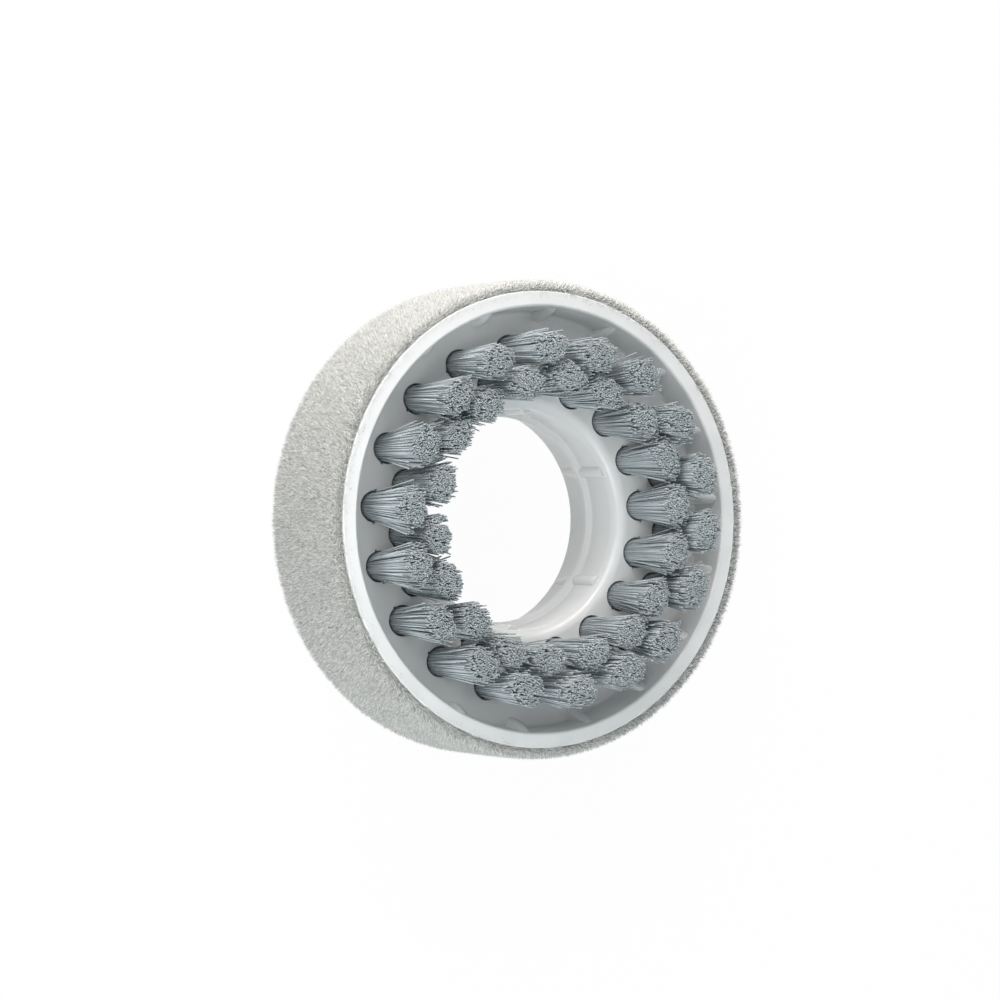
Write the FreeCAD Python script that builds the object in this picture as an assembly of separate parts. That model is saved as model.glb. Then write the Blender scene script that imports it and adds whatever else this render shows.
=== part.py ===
import FreeCAD, Part
import math
import os

# Ring brush for a robot vacuum. All sizes are in millimetres.
# The axis is +Z, the back face lies on z = 0, and the bristles point up.

# Driving dimensions: the moulding's heights, measured from the back face
RIM_HEIGHT = 24.8
DISH_DEPTH = 7.6
TUFT_BLOCK_THICKNESS = 8.0
BACK_FLANGE_HEIGHT = 1.3
FRONT_FLANGE_HEIGHT = 0.6

# Driving dimensions: the moulding's outer radius, and what lies between it and the bore
RIM_OUTER_RADIUS = 40.3
RIM_WALL = 2.7
SLEEVE_SEAT_DEPTH = 0.7
DISH_WALL_DRAFT = 0.6
OUTER_RING_INSET = 6.8
RING_SPACING = 5.5
HUB_LAND = 5.05
SKIRT_WALL = 2.4
HUB_WALL = 2.65

# Driving dimensions: the bore, its ridge and its lugs
BACK_BORE_STEP = 0.7
BACK_BORE_DRAFT = 0.55
RIDGE_REACH = 1.1
RIDGE_HEIGHT = 8.05
RIDGE_LAND = 1.0
RIDGE_FLANK = 0.5
LUG_COUNT = 6
LUG_RADIUS = 1.25
LUG_BELOW_RIDGE = 0.35
LUG_FRONT_SETBACK = 1.5
LUG_END_ROUND = 0.3
BACK_LUG_RADIUS = 1.4
BACK_LUG_BELOW_RIDGE = 0.25
BACK_LUG_END_REACH = 0.15
BACK_LUG_SETBACK = 0.9

# Driving dimensions: the gussets between dish floor and wall
GUSSET_COUNT = 18
GUSSET_RADIUS = 0.88
GUSSET_REACH = 1.8
GUSSET_BELOW_RIM = 1.25
GUSSET_BOW = 0.5

# Driving dimensions: the two rings of bristle tufts
TUFTS_PER_RING = 18
OUTER_TUFT_HEIGHT = 14.6
INNER_TUFT_HEIGHT = 13.4
TUFT_HOLE_RADIUS = 2.7
TUFT_HOLE_DEPTH = 6.5
TUFT_HOLE_CHAMFER = 0.15
TUFT_CLEARANCE = 0.05
TIP_HALF_WIDTH = 3.2
TIP_HALF_DEPTH = 2.55
TIP_CROWN_RADIUS = 9.0
TUFT_STRANDS = 8
STRAND_GROOVE_DEPTH = 0.6

# Driving dimensions: the flat wire anchors that hold the tufts
ANCHOR_THICKNESS = 0.4
ANCHOR_HEIGHT = 1.2
ANCHOR_BITE = 0.35
ANCHOR_LIFT = 0.6
ANCHOR_CLEARANCE = 0.02

# Driving dimensions: the pile sleeve
PILE_LENGTH = 2.9
SLEEVE_GLUE_GAP = 0.05
SLEEVE_END_GAP = 0.2
SLEEVE_EDGE_ROUND = 1.4

# Driving dimensions: rounded edges of the moulding
HUB_EDGE_ROUND = 2.2
RIM_OUTER_ROUND = 0.25
RIM_INNER_ROUND = 0.5
DISH_CORNER_ROUND = 0.6
RECESS_CORNER_ROUND = 0.8
BACK_EDGE_ROUND = 0.3
BORE_EDGE_ROUND = 0.5
RIDGE_ROOT_ROUND = 0.35
RIDGE_CREST_ROUND = 0.2

# Sizes that follow from the driving dimensions
FLOOR_HEIGHT = RIM_HEIGHT - DISH_DEPTH
HOLE_BOTTOM = FLOOR_HEIGHT - TUFT_HOLE_DEPTH
RECESS_ROOF = FLOOR_HEIGHT - TUFT_BLOCK_THICKNESS
SEAT_RADIUS = RIM_OUTER_RADIUS - SLEEVE_SEAT_DEPTH
RIM_INNER_RADIUS = RIM_OUTER_RADIUS - RIM_WALL
DISH_CORNER_RADIUS = RIM_INNER_RADIUS - DISH_WALL_DRAFT
SKIRT_INNER_RADIUS = SEAT_RADIUS - SKIRT_WALL
OUTER_RING_RADIUS = DISH_CORNER_RADIUS - OUTER_RING_INSET
INNER_RING_RADIUS = OUTER_RING_RADIUS - RING_SPACING
FRONT_BORE_RADIUS = INNER_RING_RADIUS - HUB_LAND
BACK_BORE_RADIUS = FRONT_BORE_RADIUS + BACK_BORE_STEP
RIDGE_RADIUS = FRONT_BORE_RADIUS - RIDGE_REACH
HUB_OUTER_RADIUS = FRONT_BORE_RADIUS + HUB_WALL
SEAT_TOP = RIM_HEIGHT - FRONT_FLANGE_HEIGHT
RIDGE_TOP = RIDGE_HEIGHT + RIDGE_LAND / 2
RIDGE_BOTTOM = RIDGE_HEIGHT - RIDGE_LAND / 2
LUG_AXIS_RADIUS = RIDGE_RADIUS + LUG_BELOW_RIDGE + LUG_RADIUS
ANCHOR_BOTTOM = HOLE_BOTTOM + ANCHOR_LIFT
ANCHOR_HALF_LENGTH = TUFT_HOLE_RADIUS + ANCHOR_BITE - ANCHOR_CLEARANCE
RING_STEP = 360.0 / TUFTS_PER_RING

ORIGIN = FreeCAD.Vector(0, 0, 0)
UP = FreeCAD.Vector(0, 0, 1)


def at(radius, height, angle=0.0):
    """The point at a radius, height and angle in degrees about the axis."""
    turn = math.radians(angle)
    return FreeCAD.Vector(radius * math.cos(turn), radius * math.sin(turn), height)


def rounded_section(corners):
    """A closed face in the XZ plane through (radius, height, rounding) corners."""
    points = [at(radius, height) for radius, height, rounding in corners]
    arcs = []
    for index, (radius, height, rounding) in enumerate(corners):
        corner = points[index]
        before = (points[index - 1] - corner).normalize()
        after = (points[(index + 1) % len(points)] - corner).normalize()
        if rounding <= 0:
            arcs.append((corner, None, corner))
            continue
        half_angle = before.getAngle(after) / 2
        reach = rounding / math.tan(half_angle)
        middle = (before + after).normalize()
        depth = rounding / math.sin(half_angle) - rounding
        arcs.append((corner + before * reach, corner + middle * depth, corner + after * reach))
    edges = []
    for index, (start, middle, end) in enumerate(arcs):
        if middle is not None:
            edges.append(Part.Arc(start, middle, end).toShape())
        following = arcs[(index + 1) % len(arcs)][0]
        edges.append(Part.LineSegment(end, following).toShape())
    return Part.Face(Part.Wire(edges))


def revolved(corners):
    """A full turn of a rounded section about the axis."""
    return rounded_section(corners).revolve(ORIGIN, UP, 360)


def turned(shape, angle):
    """A copy of a shape turned about the axis by an angle in degrees."""
    copy = shape.copy()
    copy.rotate(ORIGIN, UP, angle)
    return copy


def around(shape, count, first_angle=0.0):
    """Copies of a shape spread evenly round the axis."""
    return [turned(shape, first_angle + index * 360.0 / count) for index in range(count)]


def moulded_body():
    """The moulding's turned form: skirt, seat, rim, dish, hub, bore and ridge."""
    return revolved([
        (BACK_BORE_RADIUS, 0, BORE_EDGE_ROUND),
        (HUB_OUTER_RADIUS, 0, BACK_EDGE_ROUND),
        (HUB_OUTER_RADIUS, RECESS_ROOF, RECESS_CORNER_ROUND),
        (SKIRT_INNER_RADIUS, RECESS_ROOF, RECESS_CORNER_ROUND),
        (SKIRT_INNER_RADIUS, 0, BACK_EDGE_ROUND),
        (RIM_OUTER_RADIUS, 0, BACK_EDGE_ROUND),
        (RIM_OUTER_RADIUS, BACK_FLANGE_HEIGHT, 0),
        (SEAT_RADIUS, BACK_FLANGE_HEIGHT, 0),
        (SEAT_RADIUS, SEAT_TOP, 0),
        (RIM_OUTER_RADIUS, SEAT_TOP, 0),
        (RIM_OUTER_RADIUS, RIM_HEIGHT, RIM_OUTER_ROUND),
        (RIM_INNER_RADIUS, RIM_HEIGHT, RIM_INNER_ROUND),
        (DISH_CORNER_RADIUS, FLOOR_HEIGHT, DISH_CORNER_ROUND),
        (FRONT_BORE_RADIUS, FLOOR_HEIGHT, HUB_EDGE_ROUND),
        (FRONT_BORE_RADIUS, RIDGE_TOP + RIDGE_FLANK, RIDGE_ROOT_ROUND),
        (RIDGE_RADIUS, RIDGE_TOP, RIDGE_CREST_ROUND),
        (RIDGE_RADIUS, RIDGE_BOTTOM, RIDGE_CREST_ROUND),
        (BACK_BORE_RADIUS - BACK_BORE_DRAFT, RIDGE_BOTTOM - RIDGE_FLANK, RIDGE_ROOT_ROUND),
    ])


def gusset():
    """One round-nosed rib that bows back from the dish floor and fades into the wall."""
    foot = at(DISH_CORNER_RADIUS - GUSSET_REACH, FLOOR_HEIGHT)
    head = at(RIM_INNER_RADIUS, RIM_HEIGHT - GUSSET_BELOW_RIM)
    chord = head - foot
    bow_radius = chord.Length ** 2 / (8 * GUSSET_BOW) + GUSSET_BOW / 2
    to_wall = FreeCAD.Vector(chord.z, 0, -chord.x).normalize()
    bow_centre = (foot + head) / 2 + to_wall * (bow_radius - GUSSET_BOW)
    bow_angle = math.degrees(math.asin((head.z - bow_centre.z) / bow_radius))
    crest = bow_centre - FreeCAD.Vector(bow_radius, 0, 0)
    left = crest + FreeCAD.Vector(GUSSET_RADIUS, GUSSET_RADIUS, 0)
    right = crest + FreeCAD.Vector(GUSSET_RADIUS, -GUSSET_RADIUS, 0)
    into_wall = FreeCAD.Vector(GUSSET_REACH + RIM_WALL, 0, 0)
    section = Part.Wire([
        Part.Arc(left, crest, right).toShape(),
        Part.LineSegment(right, right + into_wall).toShape(),
        Part.LineSegment(right + into_wall, left + into_wall).toShape(),
        Part.LineSegment(left + into_wall, left).toShape(),
    ])
    rib = Part.Face(section).revolve(bow_centre, FreeCAD.Vector(0, 1, 0), bow_angle)
    wall_middle = (RIM_INNER_RADIUS + SEAT_RADIUS) / 2
    keep = Part.makeCylinder(wall_middle, RIM_HEIGHT)
    return rib.common(keep)


def bore_lugs():
    """Half-round lugs along the bore: blunt in front of the ridge, sinking into the wall behind it."""
    front_end = FLOOR_HEIGHT - LUG_FRONT_SETBACK
    front = Part.makeCylinder(LUG_RADIUS, front_end - RIDGE_HEIGHT, at(LUG_AXIS_RADIUS, RIDGE_HEIGHT))
    end_edge = [edge for edge in front.Edges if edge.BoundBox.ZMin > front_end - LUG_END_ROUND]
    front = front.makeFillet(LUG_END_ROUND, end_edge)
    back_start = at(RIDGE_RADIUS + BACK_LUG_BELOW_RIDGE + BACK_LUG_RADIUS, RIDGE_HEIGHT)
    back_end = at(BACK_BORE_RADIUS - BACK_LUG_END_REACH + BACK_LUG_RADIUS, BACK_LUG_SETBACK)
    run = back_end - back_start
    back = Part.makeCylinder(BACK_LUG_RADIUS, run.Length, back_start, run)
    return around(front, LUG_COUNT) + around(back, LUG_COUNT)


def tuft_hole(ring_radius):
    """The cutting tool of one blind tuft hole with its two anchor slits."""
    mouth = at(ring_radius, FLOOR_HEIGHT)
    hole = Part.makeCylinder(TUFT_HOLE_RADIUS, TUFT_HOLE_DEPTH + TUFT_HOLE_RADIUS, at(ring_radius, HOLE_BOTTOM))
    chamfer = Part.makeCone(
        TUFT_HOLE_RADIUS, TUFT_HOLE_RADIUS + 2 * TUFT_HOLE_CHAMFER, 2 * TUFT_HOLE_CHAMFER,
        mouth - UP * TUFT_HOLE_CHAMFER,
    )
    slit_half_width = ANCHOR_THICKNESS / 2 + ANCHOR_CLEARANCE
    slit_half_length = TUFT_HOLE_RADIUS + ANCHOR_BITE
    slit = Part.makeBox(
        2 * slit_half_width, 2 * slit_half_length, FLOOR_HEIGHT - ANCHOR_BOTTOM + TUFT_HOLE_RADIUS,
        FreeCAD.Vector(ring_radius - slit_half_width, -slit_half_length, ANCHOR_BOTTOM),
    )
    return hole.fuse([chamfer, slit])


def ring_housing():
    """The one-piece moulding."""
    body = moulded_body().fuse(around(gusset(), GUSSET_COUNT) + bore_lugs())
    holes = around(tuft_hole(INNER_RING_RADIUS), TUFTS_PER_RING)
    holes += around(tuft_hole(OUTER_RING_RADIUS), TUFTS_PER_RING, RING_STEP / 2)
    return body.cut(holes).removeSplitter()


def anchor(ring_radius):
    """One flat wire anchor across the bottom of a tuft hole."""
    return Part.makeBox(
        ANCHOR_THICKNESS, 2 * ANCHOR_HALF_LENGTH, ANCHOR_HEIGHT,
        FreeCAD.Vector(ring_radius - ANCHOR_THICKNESS / 2, -ANCHOR_HALF_LENGTH, ANCHOR_BOTTOM),
    )


def strand_outline(ring_radius, height, half_depth, half_width, groove_depth):
    """A closed outline with one outward arc to a strand, meeting its neighbours in grooves."""

    def outline_point(strand, inset):
        turn = 2 * math.pi * strand / TUFT_STRANDS
        return at(ring_radius, height) + FreeCAD.Vector(
            (half_depth - inset) * math.cos(turn), (half_width - inset) * math.sin(turn), 0,
        )

    arcs = []
    for strand in range(TUFT_STRANDS):
        start = outline_point(strand - 0.5, groove_depth)
        end = outline_point(strand + 0.5, groove_depth)
        arcs.append(Part.Arc(start, outline_point(strand, 0), end).toShape())
    return Part.Wire(arcs)


def tuft(ring_radius, tuft_height):
    """One bundle of bristles: round in its hole, spread in strands to an oval crowned tip."""
    stem_radius = TUFT_HOLE_RADIUS - TUFT_CLEARANCE
    stem = Part.makeCylinder(stem_radius, TUFT_HOLE_DEPTH, at(ring_radius, HOLE_BOTTOM))
    tip_height = FLOOR_HEIGHT + tuft_height
    fan = Part.makeLoft([
        strand_outline(ring_radius, FLOOR_HEIGHT, stem_radius, stem_radius, 0),
        strand_outline(ring_radius, tip_height, TIP_HALF_DEPTH, TIP_HALF_WIDTH, STRAND_GROOVE_DEPTH),
    ], True, True)
    crown = Part.makeSphere(TIP_CROWN_RADIUS, at(ring_radius, tip_height - TIP_CROWN_RADIUS))
    crown_base = Part.makeCylinder(
        TIP_CROWN_RADIUS, tuft_height, at(ring_radius, FLOOR_HEIGHT - TIP_CROWN_RADIUS),
    )
    fan = fan.common(crown.fuse(crown_base))
    slot = Part.makeBox(
        ANCHOR_THICKNESS + 2 * ANCHOR_CLEARANCE, 4 * stem_radius, ANCHOR_HEIGHT,
        FreeCAD.Vector(ring_radius - ANCHOR_THICKNESS / 2 - ANCHOR_CLEARANCE, -2 * stem_radius, ANCHOR_BOTTOM),
    )
    return stem.fuse(fan).removeSplitter().cut(slot)


def pile_sleeve():
    """The pile band glued into the seat of the outer wall, rounded at both ends."""
    inner_radius = SEAT_RADIUS + SLEEVE_GLUE_GAP
    outer_radius = SEAT_RADIUS + PILE_LENGTH
    bottom = BACK_FLANGE_HEIGHT + SLEEVE_END_GAP
    top = SEAT_TOP - SLEEVE_END_GAP
    return revolved([
        (inner_radius, bottom, 0),
        (outer_radius, bottom, SLEEVE_EDGE_ROUND),
        (outer_radius, top, SLEEVE_EDGE_ROUND),
        (inner_radius, top, 0),
    ])


def save(name, shape):
    """Write one node's STEP file."""
    shape.exportStep(os.path.join("parts", name + ".step"))


def main():
    os.makedirs("parts", exist_ok=True)
    save("ring_housing", ring_housing())
    save("pile_sleeve", pile_sleeve())

    rings = [
        ("inner", INNER_RING_RADIUS, INNER_TUFT_HEIGHT, 0.0),
        ("outer", OUTER_RING_RADIUS, OUTER_TUFT_HEIGHT, RING_STEP / 2),
    ]
    anchors = []
    for ring_name, ring_radius, tuft_height, first_angle in rings:
        tufts = around(tuft(ring_radius, tuft_height), TUFTS_PER_RING, first_angle)
        for number, shape in enumerate(tufts, start=1):
            save("tuft_%s_%02d" % (ring_name, number), shape)
        anchors += around(anchor(ring_radius), TUFTS_PER_RING, first_angle)
    save("anchor_staples", Part.makeCompound(anchors))


main()
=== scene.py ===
"""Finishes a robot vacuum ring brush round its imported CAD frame.

The moulding and the wire anchors keep their CAD shapes and get real finishes. The
bristle tufts and the pile sleeve are grown filament by filament with Geometry Nodes,
each in the space that its CAD solid holds. All lengths are in metres.
"""

import math

import bmesh
import bpy
from mathutils import Matrix, Vector


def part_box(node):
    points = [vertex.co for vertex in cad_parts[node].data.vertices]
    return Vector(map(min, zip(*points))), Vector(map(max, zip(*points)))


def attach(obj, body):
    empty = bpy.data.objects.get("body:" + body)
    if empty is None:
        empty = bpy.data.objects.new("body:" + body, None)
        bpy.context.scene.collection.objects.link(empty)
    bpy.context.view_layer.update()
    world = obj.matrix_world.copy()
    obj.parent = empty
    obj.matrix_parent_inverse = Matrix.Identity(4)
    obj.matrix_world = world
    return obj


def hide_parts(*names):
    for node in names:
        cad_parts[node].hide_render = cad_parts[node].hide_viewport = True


bl_info = {
    "name": "Ring Brush Finisher",
    "version": (1, 0, 0),
    "blender": (4, 5, 0),
    "location": "3D View > Sidebar > Ring Brush",
    "description": "Bristles, pile, moulded plastic and studio for a ring-shaped side brush",
    "category": "Object",
}

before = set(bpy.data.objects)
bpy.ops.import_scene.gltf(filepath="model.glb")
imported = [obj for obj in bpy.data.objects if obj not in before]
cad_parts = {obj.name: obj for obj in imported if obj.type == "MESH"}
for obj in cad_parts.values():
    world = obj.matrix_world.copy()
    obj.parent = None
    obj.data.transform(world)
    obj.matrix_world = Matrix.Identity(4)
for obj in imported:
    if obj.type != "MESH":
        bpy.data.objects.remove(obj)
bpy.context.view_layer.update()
MM = 0.001
BODY = "root"

# Named parts of the CAD frame
HOUSING = "ring_housing"
SLEEVE = "pile_sleeve"
ANCHORS = "anchor_staples"
TUFTS = sorted(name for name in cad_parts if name.startswith("tuft_"))

# Heights and radii of the CAD frame
DISH_DEPTH = 7.6 * MM
RIM_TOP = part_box(HOUSING)[1].z
DISH_FLOOR = RIM_TOP - DISH_DEPTH
RIM_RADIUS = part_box(HOUSING)[1].x
PILE_TIP_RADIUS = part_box(SLEEVE)[1].x
PILE_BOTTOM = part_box(SLEEVE)[0].z
PILE_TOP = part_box(SLEEVE)[1].z

# The disc of filaments, its strands, and the slow sway from one tuft to the next
GOLDEN_ANGLE = 2.39996
STRANDS = 8.0
STRAND_CELL = 0.27
BUNDLE_RADIUS = 2.5 * MM
SWAY_STEP = 2.4
SWAY_RATIO = 1.7
LEAN_OUTWARDS = 0.35 * MM
LEAN_ROUND_RING = 0.45 * MM

# The dense core of the pile
CORE_EDGE_ROUND = 0.7 * MM
CORE_EDGE_STEPS = 6
CORE_SEGMENTS = 288
FIBRE_RIM_GAP = 0.05 * MM
QUARTER_TURN = math.pi / 2

# The first seed of the tufts and of the pile, and the step between two tufts
FIRST_TUFT_SEED = 1
TUFT_SEED_STEP = 7
FIRST_PILE_SEED = 11

# Refraction of ABS and nylon, and of polyester
PLASTIC_IOR = 1.53
POLYESTER_IOR = 1.5

# The studio
FLOOR_RADIUS = 2.5
FLOOR_SEGMENTS = 96
LAMP_DISTANCE = 0.6
LAMP_SIZE = 0.5
FLOOR_GLOW = 0.97

# Where the photograph was taken from
AXIS_TO_SIGHT = 0.534
PHOTO_RIGHT_TURN = math.radians(-25.0)
CAMERA_ROLL = 0.012
CAMERA_DISTANCE = 581.86 * MM
RIM_CENTRE_RIGHT = 8.05 * MM
RIM_CENTRE_DOWN = 3.41 * MM
LENS_MM = 118.9
SENSOR_MM = 36.0


def colour(hex_value):
    """An sRGB hex value as an opaque linear colour."""
    parts = []
    for start in (1, 3, 5):
        share = int(hex_value[start:start + 2], 16) / 255
        parts.append(share / 12.92 if share <= 0.04045 else ((share + 0.055) / 1.055) ** 2.4)
    return (*parts, 1.0)


def add_node(tree, kind, inputs=None, **settings):
    """Add a node with its settings, and set or link its inputs."""
    made = tree.nodes.new(kind)
    for name, value in settings.items():
        setattr(made, name, value)
    for key, value in (inputs or {}).items():
        if isinstance(value, bpy.types.NodeSocket):
            tree.links.new(value, made.inputs[key])
        else:
            made.inputs[key].default_value = value
    return made


def new_material(name):
    """A material with an empty node tree and its output node."""
    material = bpy.data.materials.new(name)
    material.use_nodes = True
    material.node_tree.nodes.clear()
    return material, material.node_tree


def finish_material(tree, shader):
    """Link a shader to the material's surface."""
    add_node(tree, "ShaderNodeOutputMaterial", {"Surface": shader.outputs[0]})


def dress_node(name, material):
    """Give a CAD node one material in place of its plain ones."""
    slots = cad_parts[name].data.materials
    slots.clear()
    slots.append(material)


class RingBrushPlastic(bpy.types.PropertyGroup):
    """The moulding's plastic and the anchor wire."""

    moulding: bpy.props.FloatVectorProperty(
        name="Moulding colour",
        description="Off-white of the moulded ring",
        subtype="COLOR",
        size=4,
        default=colour("#EAEAE9"),
    )
    roughness: bpy.props.FloatProperty(
        name="Moulding roughness",
        description="Satin of the moulded faces, from 0 for a mirror to 1 for chalk",
        default=0.22,
        min=0.05,
        max=1.0,
    )
    grain: bpy.props.FloatProperty(
        name="Mould grain",
        description="Width of the fine grain that the mould leaves",
        default=0.30 * MM,
        unit="LENGTH",
        precision=5,
    )


class RingBrushBristles(bpy.types.PropertyGroup):
    """The nylon filaments of the tufts."""

    filaments: bpy.props.IntProperty(
        name="Filaments",
        description="Filament ends in each tuft",
        default=380,
        min=10,
        max=400,
    )
    radius: bpy.props.FloatProperty(
        name="Filament radius",
        description="Half the thickness of one filament",
        default=0.105 * MM,
        unit="LENGTH",
        precision=5,
    )
    tip_half_width: bpy.props.FloatProperty(
        name="Tip half width",
        description="Half the spread of the tips round the ring",
        default=3.25 * MM,
        unit="LENGTH",
        precision=5,
    )
    tip_half_depth: bpy.props.FloatProperty(
        name="Tip half depth",
        description="Half the spread of the tips along the ring's radius",
        default=2.6 * MM,
        unit="LENGTH",
        precision=5,
    )
    shaft: bpy.props.FloatVectorProperty(
        name="Shaft colour",
        description="Grey of the filaments along their length",
        subtype="COLOR",
        size=4,
        default=colour("#B1B9BC"),
    )
    cut: bpy.props.FloatVectorProperty(
        name="Cut end colour",
        description="Middle grey of most cut ends",
        subtype="COLOR",
        size=4,
        default=colour("#9AA2A4"),
    )
    # Painted highlight: this pale grey stands in for the light that some cut ends catch
    tip: bpy.props.FloatVectorProperty(
        name="Bright end colour",
        description="Pale grey of the cut ends that catch the light",
        subtype="COLOR",
        size=4,
        default=colour("#D2D6D6"),
    )


class RingBrushPile(bpy.types.PropertyGroup):
    """The pile sleeve round the outside."""

    density: bpy.props.FloatProperty(
        name="Fibres per square metre",
        description="How densely the pile fibres stand on the backing",
        default=29e6,
        min=1e5,
    )
    fibre_radius: bpy.props.FloatProperty(
        name="Fibre radius",
        description="Half the thickness of a clump of fibres at its foot",
        default=0.1 * MM,
        unit="LENGTH",
        precision=5,
    )
    core_radius: bpy.props.FloatProperty(
        name="Core radius",
        description="Radius up to which the pile is too dense to see into",
        default=41.5 * MM,
        unit="LENGTH",
        precision=5,
    )
    backing_radius: bpy.props.FloatProperty(
        name="Backing radius",
        description="Radius of the glued inner face of the fabric",
        default=39.65 * MM,
        unit="LENGTH",
        precision=5,
    )
    pile: bpy.props.FloatVectorProperty(
        name="Pile colour",
        description="Light warm grey of the pile fibres",
        subtype="COLOR",
        size=4,
        default=colour("#D6D8D6"),
    )
    warm: bpy.props.FloatVectorProperty(
        name="Warm pile colour",
        description="Yellower grey that shows in patches between the fibres",
        subtype="COLOR",
        size=4,
        default=colour("#D1CFC9"),
    )


class RingBrushStage(bpy.types.PropertyGroup):
    """The floor, the lamps and the world."""

    floor: bpy.props.FloatVectorProperty(
        name="Floor colour",
        description="White of the studio floor",
        subtype="COLOR",
        size=4,
        default=colour("#F4F4F4"),
    )
    ambient: bpy.props.FloatProperty(
        name="Ambient level",
        description="Light from all round, as a share of white",
        default=0.18,
        min=0.0,
    )
    bounce: bpy.props.FloatProperty(
        name="Bounce level",
        description="Light thrown up by a white table under the standing brush, as a share of white",
        default=0.85,
        min=0.0,
    )
    left_high: bpy.props.FloatProperty(
        name="Upper left softbox",
        description="Its light on a white face turned to it, as a share of white",
        default=0.72,
        min=0.0,
    )
    left_low: bpy.props.FloatProperty(
        name="Lower left softbox",
        description="Its light on a white face turned to it, as a share of white",
        default=0.64,
        min=0.0,
    )
    front: bpy.props.FloatProperty(
        name="Front left softbox",
        description="Its light on a white face turned to it, as a share of white",
        default=0.12,
        min=0.0,
    )
    overhead: bpy.props.FloatProperty(
        name="Overhead softbox",
        description="Its light on a white face turned to it, as a share of white",
        default=1.24,
        min=0.0,
    )


def moulded_plastic(settings):
    """Injection-moulded ABS, spark-eroded mould: off-white, satin, with a fine even grain."""
    material, tree = new_material("moulded_abs")
    place = add_node(tree, "ShaderNodeTexCoord").outputs["Object"]
    grain = add_node(
        tree, "ShaderNodeTexNoise",
        {"Vector": place, "Scale": 1 / settings.grain, "Detail": 2.0, "Roughness": 0.55},
    )
    clouding = add_node(
        tree, "ShaderNodeTexNoise",
        {"Vector": place, "Scale": 1 / (9 * MM), "Detail": 3.0, "Roughness": 0.5},
    )
    shade = add_node(
        tree, "ShaderNodeMapRange",
        {"Value": clouding.outputs["Fac"], "From Min": 0.3, "From Max": 0.7, "To Min": 0.975, "To Max": 1.0},
    )
    tint = add_node(
        tree, "ShaderNodeVectorMath",
        {0: settings.moulding[:3], "Scale": shade.outputs["Result"]}, operation="SCALE",
    )
    satin = add_node(
        tree, "ShaderNodeMapRange",
        {"Value": grain.outputs["Fac"], "From Min": 0.3, "From Max": 0.7,
         "To Min": settings.roughness - 0.02, "To Max": settings.roughness + 0.03},
    )
    bump = add_node(
        tree, "ShaderNodeBump",
        {"Height": grain.outputs["Fac"], "Strength": 0.02, "Distance": 0.02 * MM},
    )
    shader = add_node(
        tree, "ShaderNodeBsdfPrincipled",
        {"Base Color": tint.outputs["Vector"], "Roughness": satin.outputs["Result"],
         "Normal": bump.outputs["Normal"], "IOR": PLASTIC_IOR},
    )
    finish_material(tree, shader)
    return material


def flat_wire():
    """Zinc-plated flat steel wire, drawn and cut: bright metal with fine lines along it."""
    material, tree = new_material("drawn_zinc_wire")
    place = add_node(tree, "ShaderNodeTexCoord").outputs["Object"]
    lines = add_node(
        tree, "ShaderNodeTexNoise",
        {"Vector": place, "Scale": 1 / (0.08 * MM), "Detail": 2.0},
    )
    satin = add_node(
        tree, "ShaderNodeMapRange",
        {"Value": lines.outputs["Fac"], "To Min": 0.28, "To Max": 0.42},
    )
    shader = add_node(
        tree, "ShaderNodeBsdfPrincipled",
        {"Base Color": colour("#C4C6C8"), "Metallic": 1.0, "Roughness": satin.outputs["Result"]},
    )
    finish_material(tree, shader)
    return material


def nylon_filament(settings):
    """Extruded nylon, cut square: soft gloss along it, darker between the tips as painted shade, some cut
    ends painted bright as a painted highlight.
    """
    material, tree = new_material("extruded_nylon")
    cut_end = add_node(tree, "ShaderNodeAttribute", attribute_name="cut_end").outputs["Fac"]
    shade = add_node(tree, "ShaderNodeAttribute", attribute_name="shade").outputs["Fac"]
    body = add_node(
        tree, "ShaderNodeMapRange",
        {"Value": shade, "To Min": 0.88, "To Max": 1.08},
    )
    along = add_node(tree, "ShaderNodeAttribute", attribute_name="along").outputs["Fac"]
    # Painted shade: each shaft darkens over its last stretch below the tip, where the crowded tips shade one
    # another
    painted_tip_shade = add_node(
        tree, "ShaderNodeMapRange",
        {"Value": along, "From Min": 0.84, "From Max": 0.98, "To Min": 1.0, "To Max": 0.78},
    )
    tip_shaded_body = add_node(
        tree, "ShaderNodeMath",
        {0: body.outputs["Result"], 1: painted_tip_shade.outputs["Result"]}, operation="MULTIPLY",
    )
    shaft = add_node(
        tree, "ShaderNodeVectorMath",
        {0: settings.shaft[:3], "Scale": tip_shaded_body.outputs[0]}, operation="SCALE",
    )
    # Painted highlight: the filaments drawn palest get the bright end colour on their cut ends
    painted_highlight = add_node(
        tree, "ShaderNodeMapRange",
        {"Value": shade, "From Min": 0.7, "From Max": 0.98},
    )
    ends = add_node(
        tree, "ShaderNodeMix",
        {0: painted_highlight.outputs["Result"], 6: settings.cut, 7: settings.tip}, data_type="RGBA",
    )
    tint = add_node(
        tree, "ShaderNodeMix",
        {0: cut_end, 6: shaft.outputs["Vector"], 7: ends.outputs[2]}, data_type="RGBA",
    )
    satin = add_node(
        tree, "ShaderNodeMapRange",
        {"Value": shade, "To Min": 0.28, "To Max": 0.42},
    )
    shader = add_node(
        tree, "ShaderNodeBsdfPrincipled",
        {"Base Color": tint.outputs[2], "Roughness": satin.outputs["Result"], "IOR": PLASTIC_IOR},
    )
    finish_material(tree, shader)
    return material


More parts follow.
